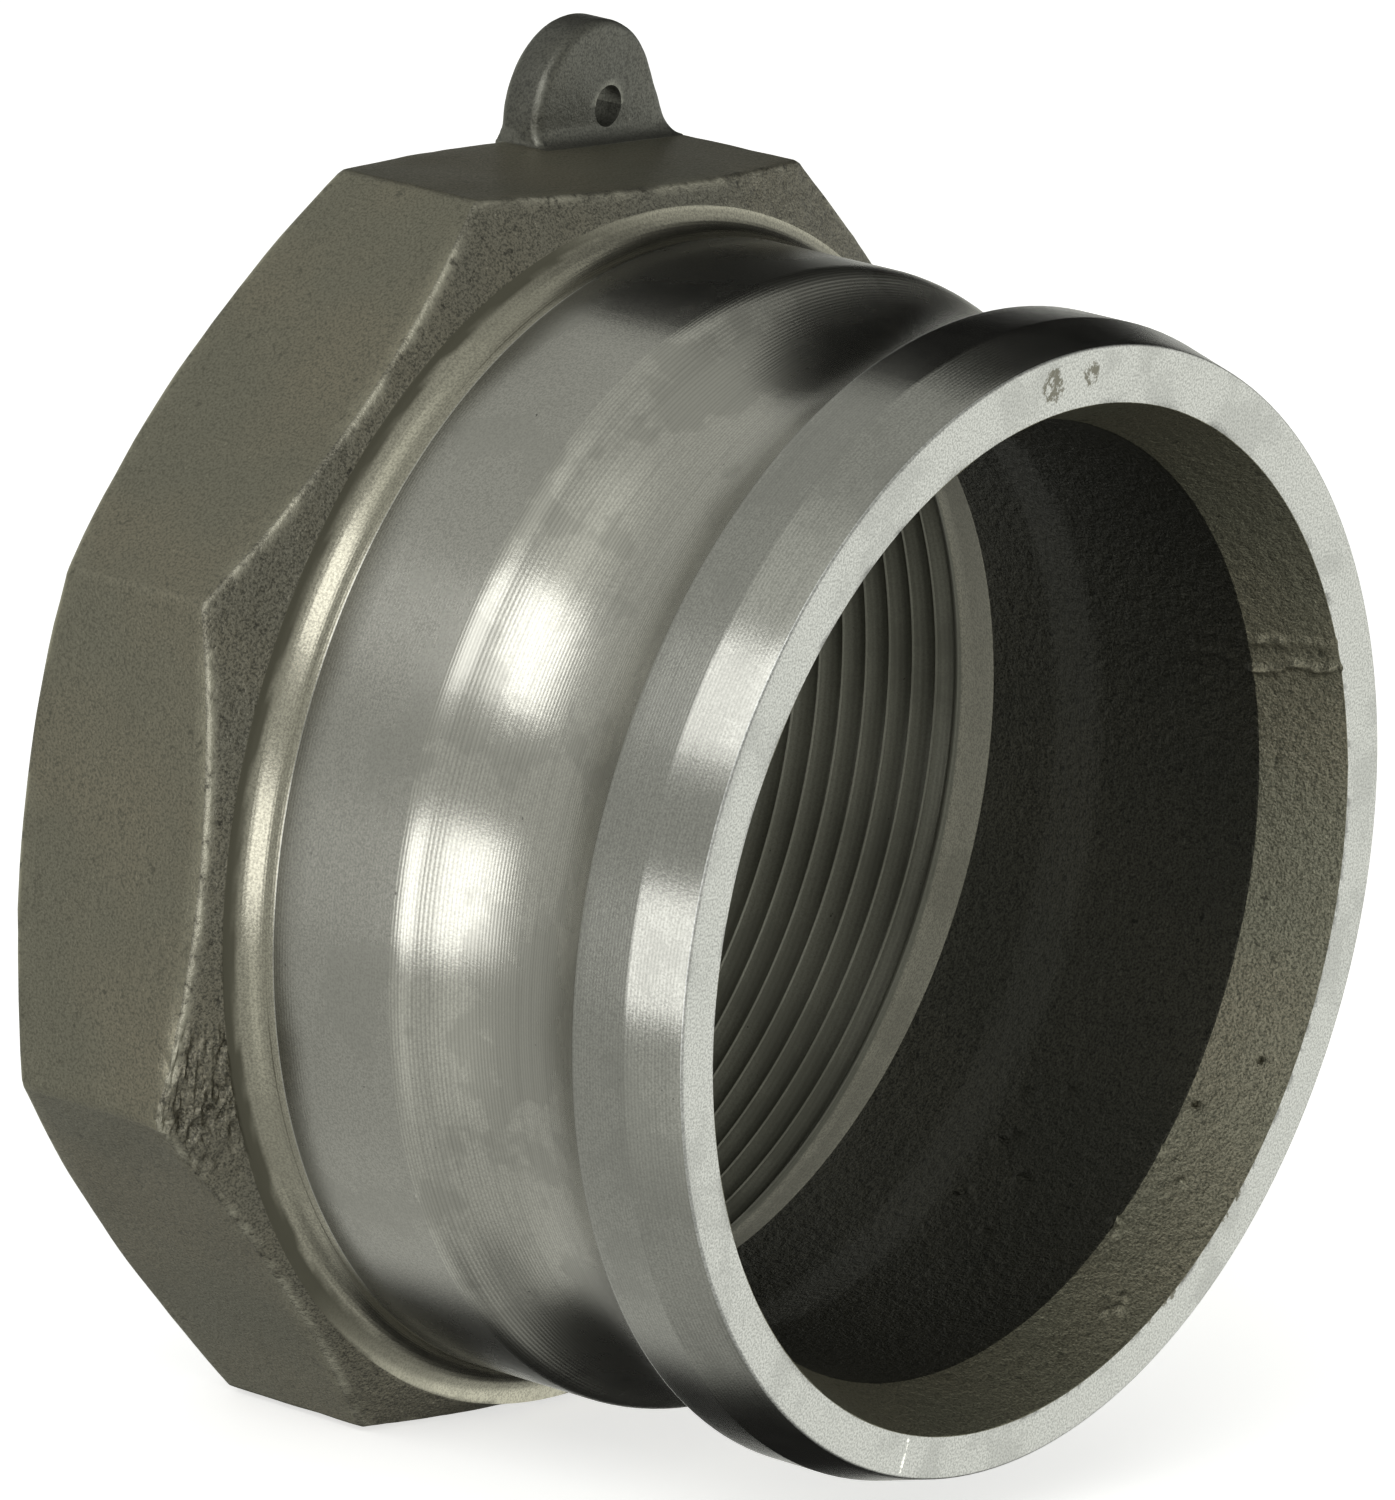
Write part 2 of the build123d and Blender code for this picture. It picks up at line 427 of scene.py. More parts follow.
def thread_radius(y, crest):
    """Radius of the threaded wall: crests on the taper, V roots, run-out and mouth chamfer."""
    minor = THREAD_MID_RADIUS + (y - THREAD_MID) * THREAD_TAPER
    phase = np.mod(y - crest, THREAD_PITCH)
    off_crest = np.minimum(phase, THREAD_PITCH - phase)
    depth = (off_crest - THREAD_CREST_FLAT / 2) / THREAD_FLANK
    depth = np.clip(depth, 0, THREAD_DEPTH)
    runout = np.clip((y - THREAD_START) / THREAD_PITCH, 0, 1)
    chamfer = MOUTH_CHAMFER_RADIUS - (BODY_LENGTH - y)
    return np.maximum(minor + depth * runout, chamfer)


def inside():
    """From the thread's start, through the cored passage, back to the mouth."""
    line = Outline()
    start = THREAD_MID_RADIUS + (THREAD_START - THREAD_MID) * THREAD_TAPER
    chamber = shifted_circle(CHAMBER_RADIUS)
    throat = shifted_circle(THROAT_RADIUS)
    line.to(start, THREAD_START, "thread")
    line.to(start, lead_cone(start), "lead")
    line.to(chamber, lead_cone(chamber), "lead", bend=0.1, steps=3)
    line.to(chamber, CHAMBER_START, "core", bend=0.8, steps=5)
    line.to(throat, THROAT_END, "core", bend=1.0, steps=3)
    line.to(throat, THROAT_START, "core", bend=0.25, steps=8)
    line.to(shifted_circle(MOUTH_RADIUS), MOUTH_START, "mouth", steps=6)
    return line.rows()


def lead_cone(radius):
    """The y at which the cone that leads into the thread has a radius."""
    return LEAD_CONE_START + (radius - LEAD_CONE_RADIUS) / LEAD_CONE_SLOPE


def casting_faces():
    """The casting's points in metres, its faces, and the zone of each face."""
    rows = []
    zones = []
    for part in (outside(), thread_rows(), inside()):
        rows += part[0]
        zones += part[1]
    table = np.stack(rows)
    radius, y = table[..., 0], table[..., 1]
    place = np.stack([radius * np.cos(THETA), y, radius * np.sin(THETA)], -1) * MM
    count, columns = radius.shape
    faces = []
    face_zones = []
    for j in range(count):
        k = (j + 1) % count
        for i in range(columns - 1):
            near = j * columns + i
            far = k * columns + i
            faces.append((near, far, far + 1, near + 1))
            face_zones.append(zones[k])
    return place.reshape(-1, 3), faces, face_zones


def build_casting():
    """The casting's smooth mesh, closed at the seam and divided finer where it carries marks."""
    points, faces, face_zones = casting_faces()
    mesh = bpy.data.meshes.new("casting")
    mesh.from_pydata([tuple(p) for p in points], [], faces)
    for polygon, zone in zip(mesh.polygons, face_zones):
        polygon.material_index = ZONES.index(zone)
    work = bmesh.new()
    work.from_mesh(mesh)
    bmesh.ops.remove_doubles(work, verts=work.verts, dist=CASTING_WELD)
    for field in FINE_FIELDS:
        refine(work, *field)
    bmesh.ops.recalc_face_normals(work, faces=work.faces)
    work.to_mesh(mesh)
    work.free()
    return mesh


def refine(work, zone, start, end, near, far, cuts):
    """Divide the faces of one zone between two angles and two values of y."""
    edges = set()
    for face in work.faces:
        if ZONES[face.material_index] != zone:
            continue
        x, y, z = face.calc_center_median() / MM
        angle = math.degrees(math.atan2(z, x)) % 360
        if start < angle < end and near < y < far:
            edges.update(face.edges)
    bmesh.ops.subdivide_edges(work, edges=list(edges), cuts=cuts, use_grid_fill=True)


def roughen(mesh):
    """The cast skin is a little uneven and carries small marks; the machined surfaces do not."""
    limit = np.full(len(mesh.vertices), 1.0)
    for polygon in mesh.polygons:
        depth = SKIN_DEPTH.get(ZONES[polygon.material_index], 0.0)
        for v in polygon.vertices:
            limit[v] = min(limit[v], depth)
    places = read_vectors(mesh.vertices, "co")
    normals = read_vectors(mesh.vertices, "normal")
    for i in np.flatnonzero(limit):
        place = places[i] / MM
        swell = limit[i] * skin(place) + marks(place)
        places[i] += normals[i] * (swell * MM)
    mesh.vertices.foreach_set("co", places.ravel())
    mesh.update()


def roughen_lug(mesh):
    """The lug has the same cast skin all over."""
    places = read_vectors(mesh.vertices, "co")
    normals = read_vectors(mesh.vertices, "normal")
    swell = np.array([skin(place / MM) for place in places])
    places += normals * (LUG_SKIN_DEPTH * MM * swell)[:, None]
    mesh.vertices.foreach_set("co", places.ravel())
    mesh.update()


def skin(place):
    """Unevenness of the cast skin, within about 1 of 0: slow swells with a finer ripple on them."""
    slow = noise.fractal(Vector(place / SWELL_SIZE), 1.0, 2.0, 2)
    fine = noise.fractal(Vector(place / RIPPLE_SIZE), 1.0, 2.0, 2)
    return slow + RIPPLE_SHARE * fine


def marks(place):
    """Height of the casting's marks at a place: a wrinkled patch outside, lumps and a seam inside."""
    x, y, z = place
    radius = math.hypot(x, z)
    angle = math.degrees(math.atan2(z, x))
    if radius > LAND_RADIUS:
        return wrinkles(place, angle)
    return lumps(y, radius, angle) + seam(y, radius, angle)


def wrinkles(place, angle):
    """A patch of deep foundry wrinkles on the chamfer beside the lower left corner."""
    across = abs(angle - WRINKLE_MIDDLE) / WRINKLE_REACH
    back = (place[1] - COLLAR_FRONT) / WRINKLE_BACK
    if across > 1 or back > 1:
        return 0.0
    fade = (1 - across**2) * (1 - max(back, 0) ** 2)
    fold = abs(noise.fractal(Vector(place / WRINKLE_FOLDS), 0.8, 2.0, 3))
    return fade * (WRINKLE_RISE - WRINKLE_DEPTH * fold)


def lumps(y, radius, angle):
    """Height of the round lumps and pits at a place inside."""
    total = 0.0
    for at, along, size, height in LUMPS:
        reach = math.hypot(math.radians(angle - at) * radius, y - along) / size
        if reach < 1:
            total += height * (1 - reach**2) ** 2
    return total


def seam(y, radius, angle):
    """The raised double line that the core's joint leaves, strongest near the mouth."""
    if not SEAM_FROM < angle < SEAM_TO or y > SEAM_END:
        return 0.0
    total = 0.0
    for at, height in SEAM_LINES:
        drift = SEAM_DRIFT * noise.noise(Vector((y / SEAM_DRIFT_LENGTH, at, 0)))
        off = (math.radians(angle - at) * radius + drift) / SEAM_WIDTH
        broken = 0.6 + 0.9 * noise.noise(Vector((y / SEAM_BREAK_LENGTH, 2 * at, 3)))
        total += height * broken * math.exp(-off**2)
    if y < SEAM_STRONG_TO:
        return total
    return total * (SEAM_WEAK * math.exp(-(y - SEAM_STRONG_TO) / SEAM_FADE))


def read_vectors(items, name):
    """One vector of each item of a mesh, as rows."""
    values = np.zeros(len(items) * 3)
    items.foreach_get(name, values)
    return values.reshape(-1, 3)


def wear_collar(mesh):
    """Write how bright the collar's edges are rubbed, and where shade is painted on the cove."""
    places = read_vectors(mesh.vertices, "co") / MM
    radius = np.hypot(places[:, 0], places[:, 2])
    from_flat = off_flat(np.arctan2(places[:, 2], places[:, 0]))
    limit = HALF_FLATS / np.cos(from_flat)
    rise = (limit - HALF_FLATS) * CHAMFER_SLOPE
    to_corner = radius * np.sin(math.pi / 8 - np.abs(from_flat))
    to_front = np.abs(places[:, 1] - COLLAR_FRONT - rise)
    to_back = np.abs(places[:, 1] - COLLAR_BACK + rise)
    nearest = np.minimum(np.minimum(CORNER_WEAR_SHARE * to_corner, to_front), to_back)
    rubbed = np.exp(-(nearest / WEAR_WIDTH) ** 2)
    write_layer(mesh, "wear", np.where(radius > limit - WEAR_BAND, rubbed, 0.0))
    # the scale layer holds where shade is painted on the cove's outer part
    write_layer(mesh, "scale", painted_cove_shade(places, radius))


def painted_cove_shade(places, radius):
    """How much painted shade darkens the metal, 0 to 1: the outer part of the cove, on one side."""
    angle = np.degrees(np.arctan2(places[:, 2], places[:, 0])) % 360
    starting = np.clip((angle - COVE_SHADE_START) / COVE_SHADE_START_FADE, 0, 1)
    stopping = np.clip((COVE_SHADE_STOP - angle) / COVE_SHADE_STOP_FADE, 0, 1)
    ragged = np.array([noise.noise(Vector(place / COVE_SHADE_PATCH)) for place in places])
    past_edge = radius - COVE_SHADE_RADIUS - COVE_SHADE_RAGGED * ragged
    return starting * stopping * np.clip(past_edge / COVE_SHADE_EDGE, 0, 1)


def wear_lug(mesh):
    """Write how bright the lug's rounded rim and the upper lip of its hole are rubbed."""
    places = read_vectors(mesh.vertices, "co") / MM
    wear = []
    hole_x, hole_z, hole_radius = LUG_HOLE
    for x, _, z in places:
        half = lug_half(x, z) - root_flare(z, LUG_ROOT)
        edge = 1 - (half - LUG_HALF_THICKNESS + LUG_EDGE) / LUG_EDGE
        lip = math.hypot(x - hole_x, z - hole_z) - hole_radius
        on_lip = math.exp(-(lip / LUG_LIP_WEAR_WIDTH) ** 2) if z > hole_z else 0.0
        wear.append(max(4 * edge * (1 - edge) * LUG_RIM_WEAR, on_lip))
    write_layer(mesh, "wear", np.clip(wear, 0, 1))


def write_layer(mesh, name, values):
    """Store one value for each point of a mesh, for its material to read."""
    layer = mesh.attributes.new(name, "FLOAT", "POINT")
    layer.data.foreach_set("value", np.asarray(values, dtype=np.float32))


def drill(lug):
    """Cut the chain hole through the lug."""
    x, z, radius = LUG_HOLE
    work = bmesh.new()
    turn = Matrix.Rotation(math.pi / 2, 4, "X")
    place = Matrix.Translation(Vector((x, LUG_MIDDLE, z)) * MM) @ turn
    bmesh.ops.create_cone(
        work,
        cap_ends=True,
        segments=LUG_HOLE_SEGMENTS,
        radius1=radius * MM,
        radius2=radius * MM,
        depth=4 * LUG_HALF_THICKNESS * MM,
        matrix=place,
    )
    mesh = bpy.data.meshes.new("drill")
    work.to_mesh(mesh)
    work.free()
    tool = bpy.data.objects.new("drill", mesh)
    bpy.context.scene.collection.objects.link(tool)
    cut = lug.modifiers.new("hole", "BOOLEAN")
    cut.operation = "DIFFERENCE"
    cut.solver = "EXACT"
    cut.object = tool
    apply_modifiers(lug)
    bpy.data.objects.remove(tool)


def apply_modifiers(obj):
    """Give obj the mesh that its modifiers make, and drop them."""
    depsgraph = bpy.context.evaluated_depsgraph_get()
    mesh = bpy.data.meshes.new_from_object(obj.evaluated_get(depsgraph))
    obj.modifiers.clear()
    obj.data = mesh


def lug_levels():
    """Heights of the lug's rows: two below the flat, then up its root and over its round top."""
    foot = [HALF_FLATS + step for step in LUG_FOOT]
    turns = np.linspace(LUG_ROOT_FIRST, math.pi / 2, LUG_ROOT_STEPS)
    root = HALF_FLATS + LUG_ROOT * (1 - np.cos(turns))
    upper = LUG_ARC[1] + LUG_ARC[2] * np.sin(np.linspace(0, math.pi / 2, LUG_TOP_STEPS))
    return np.concatenate([foot, root, upper[upper > root[-1] + LUG_TOP_GAP]])


def lug_side(work, side):
    """Rows of points over the lug's front (side -1) or back (side 1), which stays flat at its root."""
    shares = 0.5 - 0.5 * np.cos(np.linspace(0, math.pi, LUG_COLUMNS))
    grid = []
    for z in lug_levels():
        left, right = lug_span(z)
        row = []
        for share in shares:
            x = left + (right - left) * share
            y = min(LUG_MIDDLE + side * lug_half(x, z), LUG_MIDDLE + LUG_HALF_THICKNESS)
            row.append(work.verts.new((x * MM, y * MM, z * MM)))
        grid.append(row)
    return grid


def fill(work, first, second):
    """Faces between two rows of points."""
    for a, b, c, d in zip(first, first[1:], second[1:], second):
        work.faces.new((a, b, c, d))


def build_lug():
    """The chain lug as two sides that thin out to the rim and flare into the collar."""
    work = bmesh.new()
    front = lug_side(work, -1)
    back = lug_side(work, 1)
    for grid in (front, back):
        for lower, upper in zip(grid, grid[1:]):
            fill(work, lower, upper)
    levels = list(zip(front, back))
    for (a, b), (d, c) in zip(levels, levels[1:]):
        for end in (0, -1):
            work.faces.new((a[end], b[end], c[end], d[end]))
    fill(work, front[0], back[0])
    fill(work, front[-1], back[-1])
    bmesh.ops.remove_doubles(work, verts=work.verts, dist=LUG_WELD)
    bmesh.ops.recalc_face_normals(work, faces=work.faces)
    mesh = bpy.data.meshes.new("lug")
    work.to_mesh(mesh)
    work.free()
    return mesh


def root_flare(z, root):
    """How far the lug's surface spreads near the collar, as a quarter-round fillet does."""
    height = min(max(z - HALF_FLATS, 0.0), root)
    return root - math.sqrt(root**2 - (root - height) ** 2)


def lug_span(z):
    """The lug's left and right edge at height z."""
    cx, cz, radius = LUG_ARC
    rise = min(max(z - cz, 0.0), radius)
    half = math.sqrt(max(radius**2 - rise**2, 0.0))
    left = cx - (radius if z < cz else half)
    tangent_z = cz + radius * math.sin(LUG_SLOPE)
    if z < tangent_z:
        right = cx + radius * math.cos(LUG_SLOPE) + (tangent_z - z) * math.tan(LUG_SLOPE)
    else:
        right = cx + half
    return left - root_flare(z, LUG_SIDE_ROOT), right + root_flare(z, LUG_SIDE_ROOT)


def lug_half(x, z):
    """Half the lug's thickness at (x, z): full inside, rounded off within LUG_EDGE of the rim."""
    cx, cz, radius = LUG_ARC
    left, right = lug_span(z)
    rim = min(x - left, (right - x) * math.cos(LUG_SLOPE))
    if z > cz and (x < cx or math.atan2(z - cz, x - cx) > LUG_SLOPE):
        rim = min(rim, radius - math.hypot(x - cx, z - cz))
    rim = min(max(rim, 0.0), LUG_EDGE)
    edge = LUG_EDGE - math.sqrt(LUG_EDGE**2 - (LUG_EDGE - rim) ** 2)
    return LUG_HALF_THICKNESS - edge + root_flare(z, LUG_ROOT)


# ---------------------------------------------------------------- materials

def linear(r, g, b):
    """Linear colour, with full alpha, of an 8-bit display colour."""
    colour = []
    for value in (r, g, b):
        share = value / 255
        colour.append(((share + 0.055) / 1.055) ** 2.4 if value > 10 else share / 12.92)
    return colour + [1.0]


class Nodes:
    """Small helper for building a material's node tree."""

    def __init__(self, name):
        self.material = bpy.data.materials.new(name)
        self.material.use_nodes = True
        self.tree = self.material.node_tree
        self.shader = self.tree.nodes["Principled BSDF"]
        place = self.tree.nodes.new("ShaderNodeTexCoord")
        self.place = place.outputs["Object"]

    def link(self, source, target):
        self.tree.links.new(source, target)

    def stretch(self, scale):
        """Object coordinates scaled along each axis."""
        node = self.tree.nodes.new("ShaderNodeMapping")
        node.inputs["Scale"].default_value = scale
        self.link(self.place, node.inputs["Vector"])
        return node.outputs["Vector"]

    def noise(self, scale, detail, rough, vector=None):
        """Noise at a scale per metre, 0 to 1."""
        node = self.tree.nodes.new("ShaderNodeTexNoise")
        node.inputs["Scale"].default_value = scale
        node.inputs["Detail"].default_value = detail
        node.inputs["Roughness"].default_value = rough
        self.link(vector or self.place, node.inputs["Vector"])
        return node.outputs["Fac"]

    def spots(self, places, vector):
        """1 inside ragged spots, each given as x, y, z and radius in mm, and 0 elsewhere."""
        total = None
        for x, y, z, radius in places:
            node = self.tree.nodes.new("ShaderNodeVectorMath")
            node.operation = "DISTANCE"
            self.link(vector, node.inputs[0])
            node.inputs[1].default_value = (x * MM, y * MM, z * MM)
            near = 0.5 * radius * MM
            far = 1.2 * radius * MM
            inside = self.ramp(node.outputs["Value"], near, far, 1.0, 0.0)
            total = inside if total is None else self.math("MAXIMUM", total, inside)
        ragged = self.ramp(self.noise(900, 5, 0.75), 0.36, 0.64)
        return self.ramp(self.math("MULTIPLY", total, ragged), 0.22, 0.60)

    def rings(self, pitch):
        """Turning lines: rings about the Y axis at a pitch in mm, a little uneven along it."""
        node = self.tree.nodes.new("ShaderNodeTexWave")
        node.wave_type = "BANDS"
        node.bands_direction = "Y"
        node.inputs["Scale"].default_value = 2 * math.pi / (20 * pitch * MM)
        node.inputs["Distortion"].default_value = 2.0
        node.inputs["Detail"].default_value = 2.0
        node.inputs["Detail Scale"].default_value = 0.6
        self.link(self.stretch((0.02, 1, 0.02)), node.inputs["Vector"])
        return node.outputs["Fac"]

    def attribute(self, name):
        """A value stored on the mesh by write_layer."""
        node = self.tree.nodes.new("ShaderNodeAttribute")
        node.attribute_name = name
        return node.outputs["Fac"]

    def ramp(self, value, low, high, out_low=0.0, out_high=1.0, smooth=True):
        """The value's place between low and high, brought to the span of the two outputs."""
        node = self.tree.nodes.new("ShaderNodeMapRange")
        node.interpolation_type = "SMOOTHSTEP" if smooth else "LINEAR"
        node.inputs["From Min"].default_value = low
        node.inputs["From Max"].default_value = high
        node.inputs["To Min"].default_value = out_low
        node.inputs["To Max"].default_value = out_high
        self.link(value, node.inputs["Value"])
        return node.outputs["Result"]

    def math(self, kind, a, b):
        """One operation on two sockets or numbers."""
        node = self.tree.nodes.new("ShaderNodeMath")
        node.operation = kind
        for socket, value in zip(node.inputs, (a, b)):
            if isinstance(value, (int, float)):
                socket.default_value = value
            else:
                self.link(value, socket)
        return node.outputs["Value"]

    def mix(self, factor, a, b):
        """Colour a where factor is 0 and b where it is 1; each is a socket or a list."""
        node = self.tree.nodes.new("ShaderNodeMix")
        node.data_type = "RGBA"
        self.link(factor, node.inputs["Factor"])
        for name, value in (("A", a), ("B", b)):
            socket = [s for s in node.inputs if s.name == name and s.type == "RGBA"][0]
            if isinstance(value, list):
                socket.default_value = value
            else:
                self.link(value, socket)
        return [s for s in node.outputs if s.type == "RGBA"][0]

    def bump(self, height, depth_mm, strength=1.0, normal=None):
        """A normal tilted by a height, on top of another normal if one is given."""
        node = self.tree.nodes.new("ShaderNodeBump")
        node.inputs["Strength"].default_value = strength
        node.inputs["Distance"].default_value = depth_mm * MM
        self.link(height, node.inputs["Height"])
        if normal:
            self.link(normal, node.inputs["Normal"])
        return node.outputs["Normal"]


def cast_iron(name, colour, tint, grain_depth, coarse_depth, contrast):
    """Blackened cast skin: a fine even grain, soft brownish patches, dark pores and worn edges."""
    n = Nodes(name)
    patches = n.ramp(n.noise(45, 3, 0.55), 0.35, 0.65)
    grain = n.noise(3800, 2, 0.6)
    coarse = n.noise(900, 4, 0.65)
    base = n.mix(patches, colour, tint)
    base = n.mix(n.ramp(grain, 0.32, 0.60), shade(colour, 1 - contrast), base)
    base = n.mix(n.ramp(coarse, 0.28, 0.40), shade(colour, 1 - 1.3 * contrast), base)
    glints = n.math("MULTIPLY", n.ramp(grain, 0.66, 0.74), n.ramp(coarse, 0.50, 0.62))
    base = n.mix(glints, base, shade(colour, 1 + 2 * contrast))
    stretches = n.ramp(n.noise(110, 3, 0.6), 0.40, 0.58)
    breaks = n.ramp(n.noise(900, 3, 0.6), 0.25, 0.55)
    rubbed = n.math("MULTIPLY", stretches, breaks)
    worn = n.math("MULTIPLY", n.attribute("wear"), rubbed)
    n.link(n.mix(worn, base, shade(colour, 2.2)), n.shader.inputs["Base Color"])
    n.link(n.ramp(worn, 0, 1, 0.85, 0.95, smooth=False), n.shader.inputs["Metallic"])
    n.link(n.ramp(grain, 0.2, 0.8, 0.52, 0.38, smooth=False), n.shader.inputs["Roughness"])
    slow = n.bump(coarse, coarse_depth)
    n.link(n.bump(grain, grain_depth, normal=slow), n.shader.inputs["Normal"])
    return n.material


def turned_metal(
    name, colour, rough, line_depth, speckle=0.18, lines_seen=0.85, turn=0.8, stained=0.10, spots=(),
):
    """Turned grey metal: fine rings round the axis, speckle, faint stains and painted shade on the
    cove's outer part.

    A low lines_seen makes the rings dark, and turn is how far they stretch a reflection.
    """
    n = Nodes(name)
    streaks = n.noise(1.0, 2, 0.5, n.stretch((45, 2200, 45)))
    rings = n.rings(LINE_PITCH)
    fine = n.noise(4200, 2, 0.6)
    stain = n.noise(70, 5, 0.66)
    line = shade(colour, LINE_SHADE)
    base = n.mix(n.ramp(stain, 0.43, 0.49), shade(colour, 1 - stained), colour)
    base = n.mix(n.ramp(fine, 0.34, 0.62), shade(colour, 1 - speckle), base)
    base = n.mix(n.ramp(rings, 0.0, 0.7, lines_seen, 1.0), line, base)
    base = n.mix(n.ramp(streaks, 0.34, 0.50, (1 + lines_seen) / 2, 1.0), line, base)
    base = n.mix(n.ramp(n.noise(1300, 2, 0.5), 0.76, 0.80), base, line)
    for places, tone in spots:
        base = n.mix(n.spots(places, n.place), base, tone)
    # painted shade: the scale layer turns the cove's outer part dark, less metallic and rougher
    scale = n.attribute("scale")
    n.link(n.mix(scale, base, linear(*COVE_SHADE_COLOUR)), n.shader.inputs["Base Color"])
    n.link(n.ramp(scale, 0, 1, 1.0, 0.8, smooth=False), n.shader.inputs["Metallic"])
    stretch_light(n, turn)
    polish = n.ramp(stain, 0.42, 0.54, rough + 0.03, rough - 0.01, smooth=False)
    duller = n.ramp(scale, 0, 1, 0.0, 0.25, smooth=False)
    n.link(n.math("ADD", polish, duller), n.shader.inputs["Roughness"])
    n.link(n.bump(rings, line_depth, normal=n.bump(fine, 0.010, 0.8)), n.shader.inputs["Normal"])
    return n.material


def stretch_light(n, amount):
    """Stretch reflections across rings that run round the Y axis."""
    n.shader.inputs["Anisotropic"].default_value = amount
    n.shader.inputs["Anisotropic Rotation"].default_value = 0.25
    around = n.tree.nodes.new("ShaderNodeTangent")
    around.direction_type = "RADIAL"
    around.axis = "Y"
    n.link(around.outputs["Tangent"], n.shader.inputs["Tangent"])


def shade(colour, share):
    """A colour made darker, or lighter above 1, with full alpha."""
    return [min(c * share, 1.0) for c in colour[:3]] + [1.0]


def on_spigot(angle, radius, y, size):
    """A spot's place on the spigot, from its angle round the axis, radius and y, with its size."""
    turn = math.radians(angle)
    return radius * math.cos(turn), y, radius * math.sin(turn), size


def face_spots():
    """Stains, the rough edge of the mouth, and a bright nick on the sealing face."""
    stains = [on_spigot(97.8, 55.4, 0, 2.2), on_spigot(91.5, 55.6, 0, 1.6)]
    rough_edge = [on_spigot(angle, 53.4, 0, 0.8) for angle in (-53, -55.5, -57, -60, -44, -41)]
    nick = [on_spigot(-104.5, 54.3 + 0.45 * step, 0, 0.28) for step in range(8)]
    return [(stains + rough_edge, linear(112, 110, 100)), (nick, linear(250, 250, 245))]


def land_spots():
    """A bright flake on the crest behind the groove."""
    flake = [on_spigot(-148.8, 59.3, 34.4, 0.9), on_spigot(-149.6, 59.3, 35.3, 0.7)]
    return [(flake, linear(240, 238, 228))]


def turned_materials():
    """The machined surfaces, by zone."""
    return {
        "face": turned_metal(
            "sealing_face", linear(202, 203, 200), rough=0.36, line_depth=0.003,
            speckle=0.42, lines_seen=0.95, turn=0.0, stained=0.12, spots=face_spots(),
        ),
        "tip": turned_metal(
            "turned_tip", linear(166, 166, 160), rough=0.24, line_depth=0.006, speckle=0.24,
        ),
        "groove": turned_metal(
            "turned_groove", linear(190, 189, 181), rough=0.25, line_depth=0.010,
            speckle=0.20, lines_seen=0.70, stained=0.24,
        ),
        "land": turned_metal(
            "turned_land", linear(176, 175, 168), rough=0.26, line_depth=0.003,
            speckle=0.24, lines_seen=0.95, stained=0.08, spots=land_spots(),
        ),
        "shoulder": turned_metal(
            "turned_shoulder", linear(172, 169, 154), rough=0.24, line_depth=0.004,
            speckle=0.34, lines_seen=0.9, turn=0.0,
        ),
        # painted shade: the thread is darker than the outer turned metal, for the shade inside the bore
        "thread": turned_metal(
            "shaded_cut_thread", linear(122, 122, 112), rough=0.36, line_depth=0.004,
        ),
        "lead": turned_metal(
            "thread_lead", linear(146, 144, 132), rough=0.42, line_depth=0.004,
            speckle=0.4, lines_seen=0.9, turn=0.0,
        ),
    }


def cast_materials():
    """The surfaces left as cast, by zone: colour, patches, depth of grain and pores, contrast."""
    looks = {
        "chamfer": ("chamfer_skin", (120, 118, 107), (126, 122, 108), 0.07, 0.24, 0.55),
        "cast": ("cast_skin", (122, 120, 106), (129, 124, 108), 0.04, 0.08, 0.34),
        # painted shade: the cored passage has a much darker colour than the other cast skin, for the
        # shade deep in the bore
        "core": ("cored_passage", (62, 62, 55), (67, 66, 58), 0.07, 0.30, 0.55),
        "mouth": ("cored_mouth", (128, 127, 111), (132, 128, 111), 0.08, 0.24, 0.5),
        # painted shade: the lug, one casting with the collar, has a darker copy of the cast skin, for
        # its dimly lit front
        "lug": ("lug_skin", (96, 96, 90), (101, 100, 92), 0.04, 0.09, 0.38),
    }
    made = {}
    for zone, (name, colour, tint, *depths) in looks.items():
        made[zone] = cast_iron(name, linear(*colour), linear(*tint), *depths)
    return made


# ---------------------------------------------------------------- camera, floor and light

def direction(azimuth, elevation):
    """Unit vector towards an azimuth, from -Y towards +X, and an elevation, both in degrees."""
    a = math.radians(azimuth)
    e = math.radians(elevation)
    return (math.sin(a) * math.cos(e), -math.cos(a) * math.cos(e), math.sin(e))


def aim(obj, azimuth, elevation, distance, target, roll=0.0):
    """Place obj at a distance from target, looking at it, turned by roll about its view."""
    a = math.radians(azimuth)
    r = math.radians(roll)
    back = Vector(direction(azimuth, elevation))
    right = Vector((math.cos(a), math.sin(a), 0))
    up = back.cross(right)
    x = right * math.cos(r) + up * math.sin(r)
    y = up * math.cos(r) - right * math.sin(r)
    matrix = Matrix((x, y, back)).transposed().to_4x4()
    matrix.translation = Vector(target) + back * distance
    obj.matrix_world = matrix


def make_camera():
    """The photo's view."""
    data = bpy.data.cameras.new("camera")
    data.sensor_width = CAMERA_SENSOR
    data.lens = CAMERA_LENS
    data.clip_start = 0.05
    data.clip_end = 30
    camera = bpy.data.objects.new("camera", data)
    bpy.context.scene.collection.objects.link(camera)
    aim(camera, CAMERA_AZIMUTH, CAMERA_ELEVATION, CAMERA_DISTANCE, CAMERA_TARGET, CAMERA_ROLL)
    bpy.context.scene.camera = camera


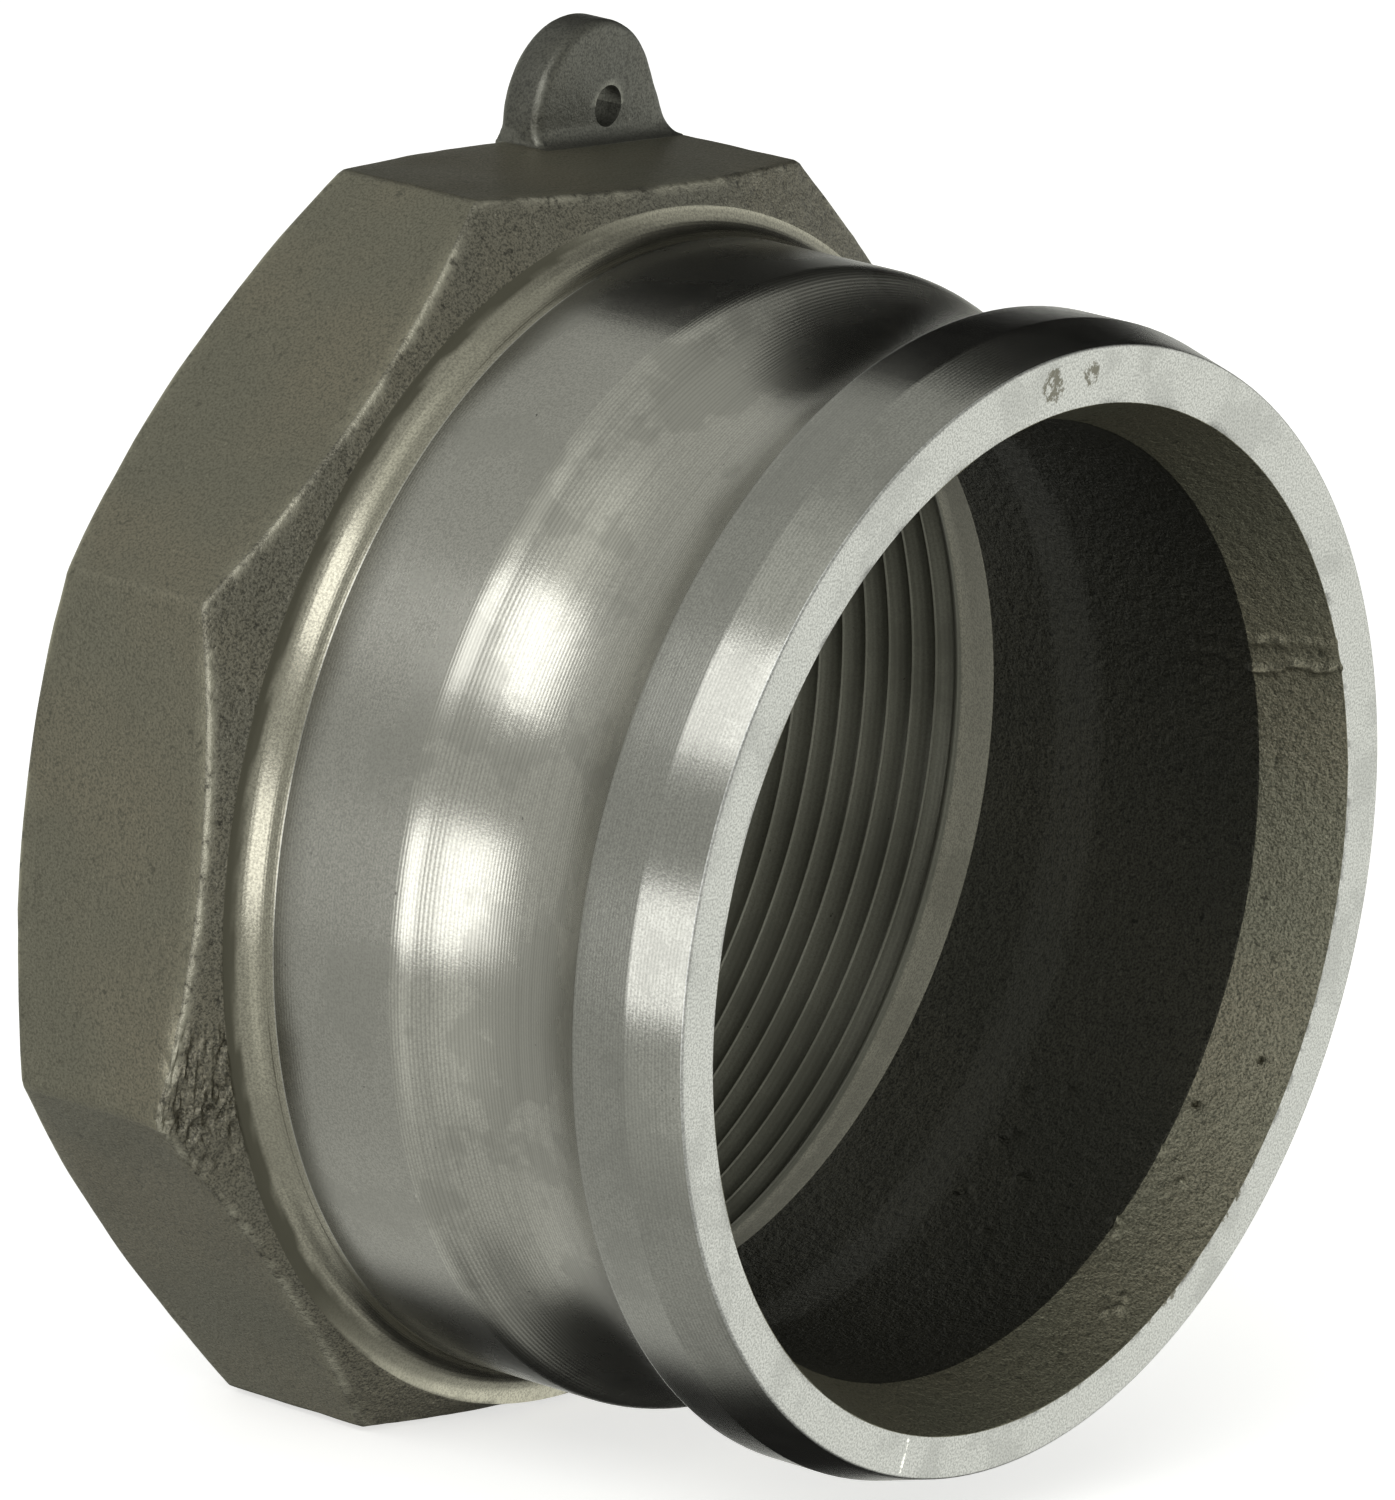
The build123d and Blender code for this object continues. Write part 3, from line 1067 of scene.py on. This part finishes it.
def make_floor():
    """A pale glowing floor under the collar's lowest flat, for the photo's white ground."""
    size = FLOOR_HALF_SIZE
    level = -HALF_FLATS * MM - FLOOR_GAP
    corners = [(x * size, y * size, level) for x, y in ((-1, -1), (1, -1), (1, 1), (-1, 1))]
    mesh = bpy.data.meshes.new("floor")
    mesh.from_pydata(corners, [], [(0, 1, 2, 3)])
    floor = bpy.data.objects.new("floor", mesh)
    bpy.context.scene.collection.objects.link(floor)
    n = Nodes("pale_floor")
    n.shader.inputs["Base Color"].default_value = (FLOOR_GREY, FLOOR_GREY, FLOOR_GREY, 1)
    n.shader.inputs["Roughness"].default_value = FLOOR_ROUGH
    n.shader.inputs["Emission Color"].default_value = (1, 1, 1, 1)
    n.shader.inputs["Emission Strength"].default_value = FLOOR_GLOW
    mesh.materials.append(n.material)
    floor.visible_glossy = False
    floor.visible_diffuse = False


def window(name, elevation, high):
    """A wide soft light beside the camera, which the camera does not see itself."""
    data = bpy.data.lights.new(name, "AREA")
    data.shape = "RECTANGLE"
    data.size = WINDOW_WIDTH
    data.size_y = high
    data.energy = WINDOW_POWER
    light = bpy.data.objects.new(name, data)
    light.visible_camera = False
    bpy.context.scene.collection.objects.link(light)
    aim(light, WINDOW_AZIMUTH, elevation, WINDOW_DISTANCE, WINDOW_TARGET)


def soft_field(tree, view, azimuth, elevation, inner, outer, share):
    """1 outside a round field of the surroundings, changing smoothly to share inside it."""
    dot = tree.nodes.new("ShaderNodeVectorMath")
    dot.operation = "DOT_PRODUCT"
    tree.links.new(view, dot.inputs[0])
    dot.inputs[1].default_value = direction(azimuth, elevation)
    field = tree.nodes.new("ShaderNodeMapRange")
    field.interpolation_type = "SMOOTHSTEP"
    field.inputs["From Min"].default_value = math.cos(math.radians(outer))
    field.inputs["From Max"].default_value = math.cos(math.radians(inner))
    field.inputs["To Min"].default_value = 1.0
    field.inputs["To Max"].default_value = share
    tree.links.new(dot.outputs["Value"], field.inputs["Value"])
    return field.outputs["Result"]


def make_world():
    """Even grey surroundings with soft-edged darker and lighter fields, as in a studio tent."""
    world = bpy.data.worlds.new("studio")
    bpy.context.scene.world = world
    world.use_nodes = True
    tree = world.node_tree
    view = tree.nodes.new("ShaderNodeTexCoord").outputs["Generated"]
    level = soft_field(tree, view, *SURROUNDINGS[0])
    for field in SURROUNDINGS[1:]:
        inside = soft_field(tree, view, *field)
        times = tree.nodes.new("ShaderNodeMath")
        times.operation = "MULTIPLY"
        tree.links.new(level, times.inputs[0])
        tree.links.new(inside, times.inputs[1])
        level = times.outputs["Value"]
    background = tree.nodes["Background"]
    background.inputs["Color"].default_value = STUDIO_GREY
    tree.links.new(level, background.inputs["Strength"])


def make_lights():
    """The surroundings and the two windows."""
    make_world()
    for name, elevation, high in WINDOWS:
        window(name, elevation, high)


# ---------------------------------------------------------------- the adapter

def make_adapter():
    """The casting and its chain lug, one piece of iron in two meshes."""
    mesh = build_casting()
    roughen(mesh)
    materials = {**turned_materials(), **cast_materials()}
    for zone in ZONES:
        mesh.materials.append(materials[zone])
    body = bpy.data.objects.new("adapter", mesh)
    bpy.context.scene.collection.objects.link(body)
    wear_collar(mesh)
    lug = bpy.data.objects.new("lug", build_lug())
    bpy.context.scene.collection.objects.link(lug)
    drill(lug)
    roughen_lug(lug.data)
    wear_lug(lug.data)
    lug.data.materials.clear()
    lug.data.materials.append(materials["lug"])
    for obj in (body, lug):
        obj.data.shade_smooth()
        obj.data.set_sharp_from_angle(angle=SHARP_ANGLE)
        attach(obj, "root")
    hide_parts("adapter_body")


bpy.context.scene.view_settings.view_transform = "Standard"
make_camera()
make_floor()
make_lights()
make_adapter()
